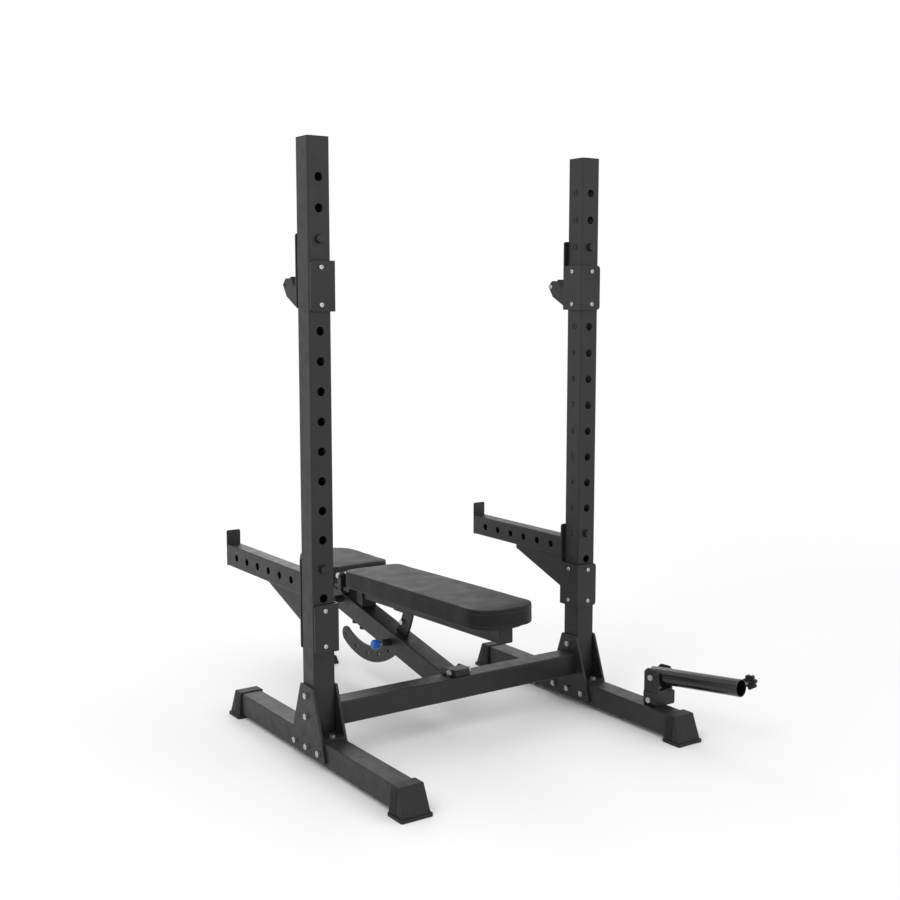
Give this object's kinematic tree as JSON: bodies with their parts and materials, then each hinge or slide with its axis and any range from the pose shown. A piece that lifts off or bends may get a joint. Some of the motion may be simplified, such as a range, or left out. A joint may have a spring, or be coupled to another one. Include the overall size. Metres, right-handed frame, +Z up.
{
  "type": "bench press rack",
  "caption": "Free-standing press rack with numbered uprights, bar hooks, swing-away spotter arms, landmine bar holder and a bolted-on incline bench.",
  "frame": {"origin": "on the floor, midway between the two uprights' centre lines", "axes": "+X along the crossmember to the right upright (the landmine side), +Y towards the seat and the lifter's feet, +Z up"},
  "size_m": [1.2823, 1.7128, 1.938],
  "materials": {
    "satin_frame": "satin powder coat, near-black grey",
    "gloss_sleeve": "glossy black",
    "zinc": "zinc-plated",
    "spring_steel": "bright spring wire",
    "vinyl": "black vinyl upholstery over foam",
    "plywood": "black-painted plywood",
    "black_plastic": "matte black plastic",
    "black_rubber": "matte black rubber",
    "blue_plastic": "blue plastic knob"
  },
  "bodies": {
    "frame": {"upright_right": "satin_frame", "upright_left": "satin_frame", "upright_caps": "black_plastic", "floor_tube_right": "satin_frame", "floor_tube_left": "satin_frame", "head_foot_caps": "black_plastic", "rear_foot_caps": "black_plastic", "gusset_plates": "satin_frame", "base_plates": "satin_frame", "crossmember": "satin_frame", "gusset_bolts": "zinc", "gusset_nuts": "zinc", "frame_bolts": "zinc", "landmine_bracket": "satin_frame", "bench_beam": "satin_frame", "bench_lug": "satin_frame", "front_post": "satin_frame", "front_foot": "black_rubber", "hinge_cradle": "satin_frame", "hinge_bolts": "zinc", "pin_housings": "satin_frame", "pin_springs": "spring_steel"},
    "hook_right": {"hook_bracket_right": "satin_frame", "hook_pin_right": "satin_frame", "hook_liner_right": "black_plastic", "hook_saddle_right": "black_plastic", "hook_screws_right": "zinc"},
    "hook_left": {"hook_bracket_left": "satin_frame", "hook_pin_left": "satin_frame", "hook_liner_left": "black_plastic", "hook_saddle_left": "black_plastic", "hook_screws_left": "zinc"},
    "arm_right": {"arm_bracket_right": "satin_frame", "arm_tube_right": "satin_frame", "arm_pin_right": "satin_frame", "arm_liner_right": "black_plastic", "arm_screws_right": "zinc"},
    "arm_left": {"arm_bracket_left": "satin_frame", "arm_tube_left": "satin_frame", "arm_pin_left": "satin_frame", "arm_liner_left": "black_plastic", "arm_screws_left": "zinc"},
    "landmine_swivel": {"landmine_yoke": "satin_frame", "landmine_pin": "zinc"},
    "landmine_arm": {"landmine_sleeve": "gloss_sleeve"},
    "landmine_clamp": {"landmine_screw": "zinc"},
    "landmine_star": {"landmine_knob": "black_plastic"},
    "backrest": {"back_frame": "satin_frame", "back_cap": "black_plastic", "back_arc": "satin_frame", "back_stop_bolt": "zinc", "back_board": "plywood", "back_pad": "vinyl"},
    "seat": {"seat_frame": "satin_frame", "seat_board": "plywood", "seat_pad": "vinyl"},
    "back_pin": {"back_lock_pin": "zinc", "back_lock_knob": "blue_plastic"},
    "seat_pin": {"seat_lock_pin": "zinc", "seat_lock_knob": "blue_plastic"}
  },
  "joints": [
    {"name": "hook_right_swing", "type": "hinge", "parent": "frame", "child": "hook_right", "pos_m": [0.5335, 0, 1.634], "axis": [0, 1, 0], "range_deg": [0, 90]},
    {"name": "hook_left_swing", "type": "hinge", "parent": "frame", "child": "hook_left", "pos_m": [-0.5335, 0, 1.634], "axis": [0, -1, 0], "range_deg": [0, 90]},
    {"name": "arm_right_swing", "type": "hinge", "parent": "frame", "child": "arm_right", "pos_m": [0.5335, 0, 0.622], "axis": [0, 1, 0], "range_deg": [0, 90]},
    {"name": "arm_left_swing", "type": "hinge", "parent": "frame", "child": "arm_left", "pos_m": [-0.5335, 0, 0.622], "axis": [0, -1, 0], "range_deg": [0, 90]},
    {"name": "landmine_swivel_turn", "type": "hinge", "parent": "frame", "child": "landmine_swivel", "pos_m": [0.5555, -0.395, 0.14], "axis": [0, 0, 1], "range_deg": [-90, 90]},
    {"name": "landmine_pitch", "type": "hinge", "parent": "landmine_swivel", "child": "landmine_arm", "pos_m": [0.5555, -0.395, 0.187], "axis": [-0.9885, -0.1513, 0], "range_deg": [-8, 75]},
    {"name": "landmine_clamp_travel", "type": "slide", "parent": "landmine_arm", "child": "landmine_clamp", "axis": [0.9885, 0.1513, 0], "range_m": [-0.009, 0.003]},
    {"name": "landmine_star_turn", "type": "hinge", "parent": "landmine_clamp", "child": "landmine_star", "pos_m": [0.68507, -0.68643, 0.21554], "axis": [0.9885, 0.1513, 0], "range_deg": [-2160, 720]},
    {"name": "backrest_tilt", "type": "hinge", "parent": "frame", "child": "backrest", "pos_m": [0, 0.608, 0.432], "axis": [-1, 0, 0], "range_deg": [0, 75]},
    {"name": "seat_tilt", "type": "hinge", "parent": "frame", "child": "seat", "pos_m": [0, 0.608, 0.432], "axis": [1, 0, 0], "range_deg": [0, 12]},
    {"name": "back_pin_pull", "type": "slide", "parent": "frame", "child": "back_pin", "axis": [-1, 0, 0], "range_m": [-0.012, 0]},
    {"name": "seat_pin_pull", "type": "slide", "parent": "frame", "child": "seat_pin", "axis": [-1, 0, 0], "range_m": [-0.012, 0]}
  ],
  "couplings": [
    {"joint": "landmine_clamp_travel", "follows": "landmine_star_turn", "m_per_rad": 0.00023873}
  ]
}
